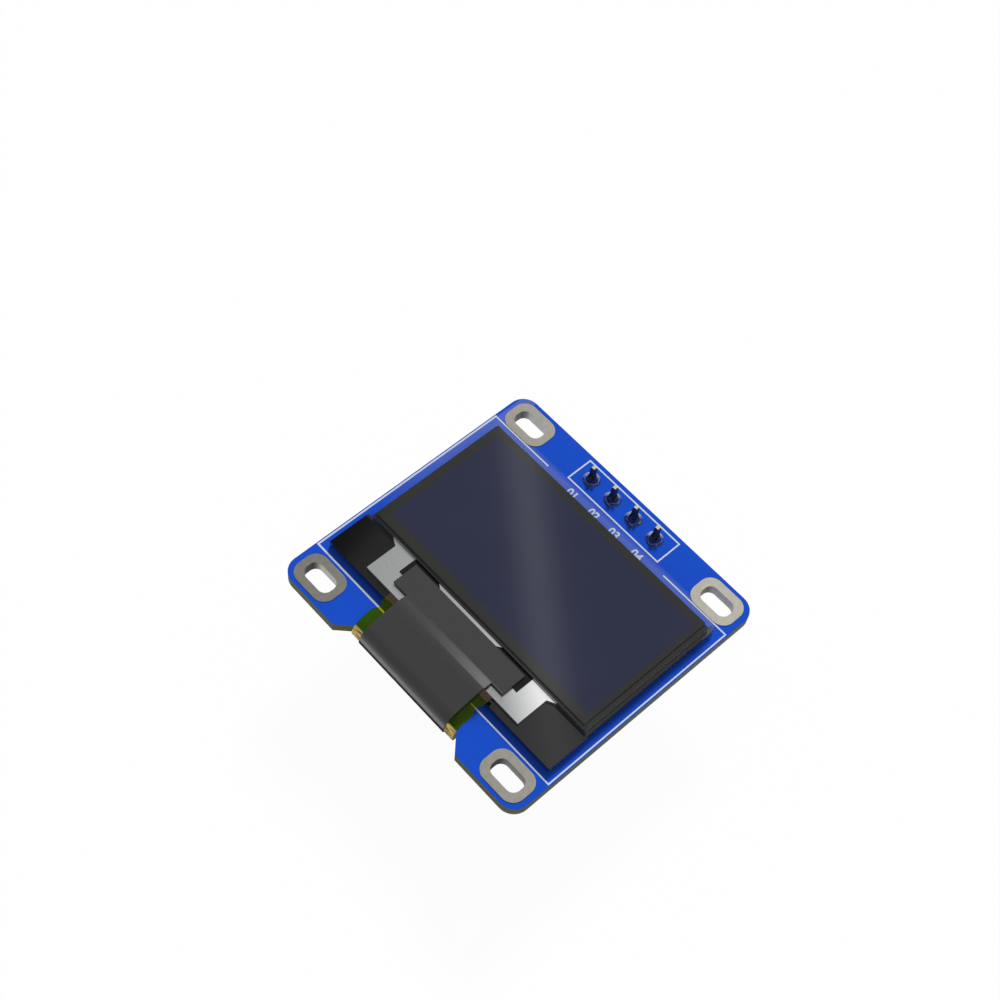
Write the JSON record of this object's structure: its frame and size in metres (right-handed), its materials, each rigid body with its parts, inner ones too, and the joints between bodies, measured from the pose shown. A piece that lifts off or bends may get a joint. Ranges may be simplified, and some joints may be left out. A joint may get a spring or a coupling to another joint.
{
  "type": "small oled display module",
  "caption": "Small square graphic display module: a glass panel on a blue circuit board, with corner slots, a folded flex and a row of header pins.",
  "frame": {"origin": "centre of the four-slot mounting pattern on the circuit board's front face", "axes": "+X along the header row in reading direction, +Y from the flex edge to the header edge, +Z out of the display face"},
  "size_m": [0.0282, 0.0272, 0.0115],
  "materials": {
    "board_mask": "glossy blue solder mask on glass-fibre laminate",
    "tinned_land": "satin tinned copper",
    "header_plastic": "black moulded plastic",
    "pin_metal": "bright tinned square pin",
    "solder": "smooth solder",
    "foam_tape": "black double-sided foam tape",
    "panel_glass": "clear display glass",
    "seal": "dark edge seal",
    "oled_layer": "dark grey light-emitting layer",
    "polariser": "satin polariser film",
    "ledge_coating": "black gloss coating",
    "driver_block": "black driver block",
    "silver_plate": "silver conductor plate",
    "amber_film": "amber polyimide film",
    "dark_cover": "dark coverlay",
    "capacitor_ceramic": "tan ceramic",
    "resistor_glaze": "black glazed chip",
    "moulding": "black moulded package"
  },
  "bodies": {
    "root": {"cap_glass": "panel_glass", "capacitor_1": "capacitor_ceramic", "capacitor_2": "capacitor_ceramic", "capacitor_3": "capacitor_ceramic", "capacitor_4": "capacitor_ceramic", "capacitor_5": "capacitor_ceramic", "capacitor_ends": "tinned_land", "chip_solder": "solder", "circuit_board": "board_mask", "conductor_plate_left": "silver_plate", "conductor_plate_right": "silver_plate", "diode_body": "moulding", "diode_leads": "tinned_land", "driver_block": "driver_block", "edge_seal": "seal", "flex_cover": "dark_cover", "flex_film": "amber_film", "flex_solder": "solder", "header_body": "header_plastic", "header_pin_1": "pin_metal", "header_pin_2": "pin_metal", "header_pin_3": "pin_metal", "header_pin_4": "pin_metal", "ledge_coating": "ledge_coating", "oled_layer": "oled_layer", "panel_tape": "foam_tape", "pin_solder_1": "solder", "pin_solder_2": "solder", "pin_solder_3": "solder", "pin_solder_4": "solder", "polariser": "polariser", "rear_glass": "panel_glass", "regulator_body": "moulding", "regulator_leads": "tinned_land", "resistor_1": "resistor_glaze", "resistor_2": "resistor_glaze", "resistor_3": "resistor_glaze", "resistor_4": "resistor_glaze", "resistor_5": "resistor_glaze", "resistor_ends": "tinned_land", "slot_rim_1": "tinned_land", "slot_rim_2": "tinned_land", "slot_rim_3": "tinned_land", "slot_rim_4": "tinned_land"}
  },
  "joints": []
}
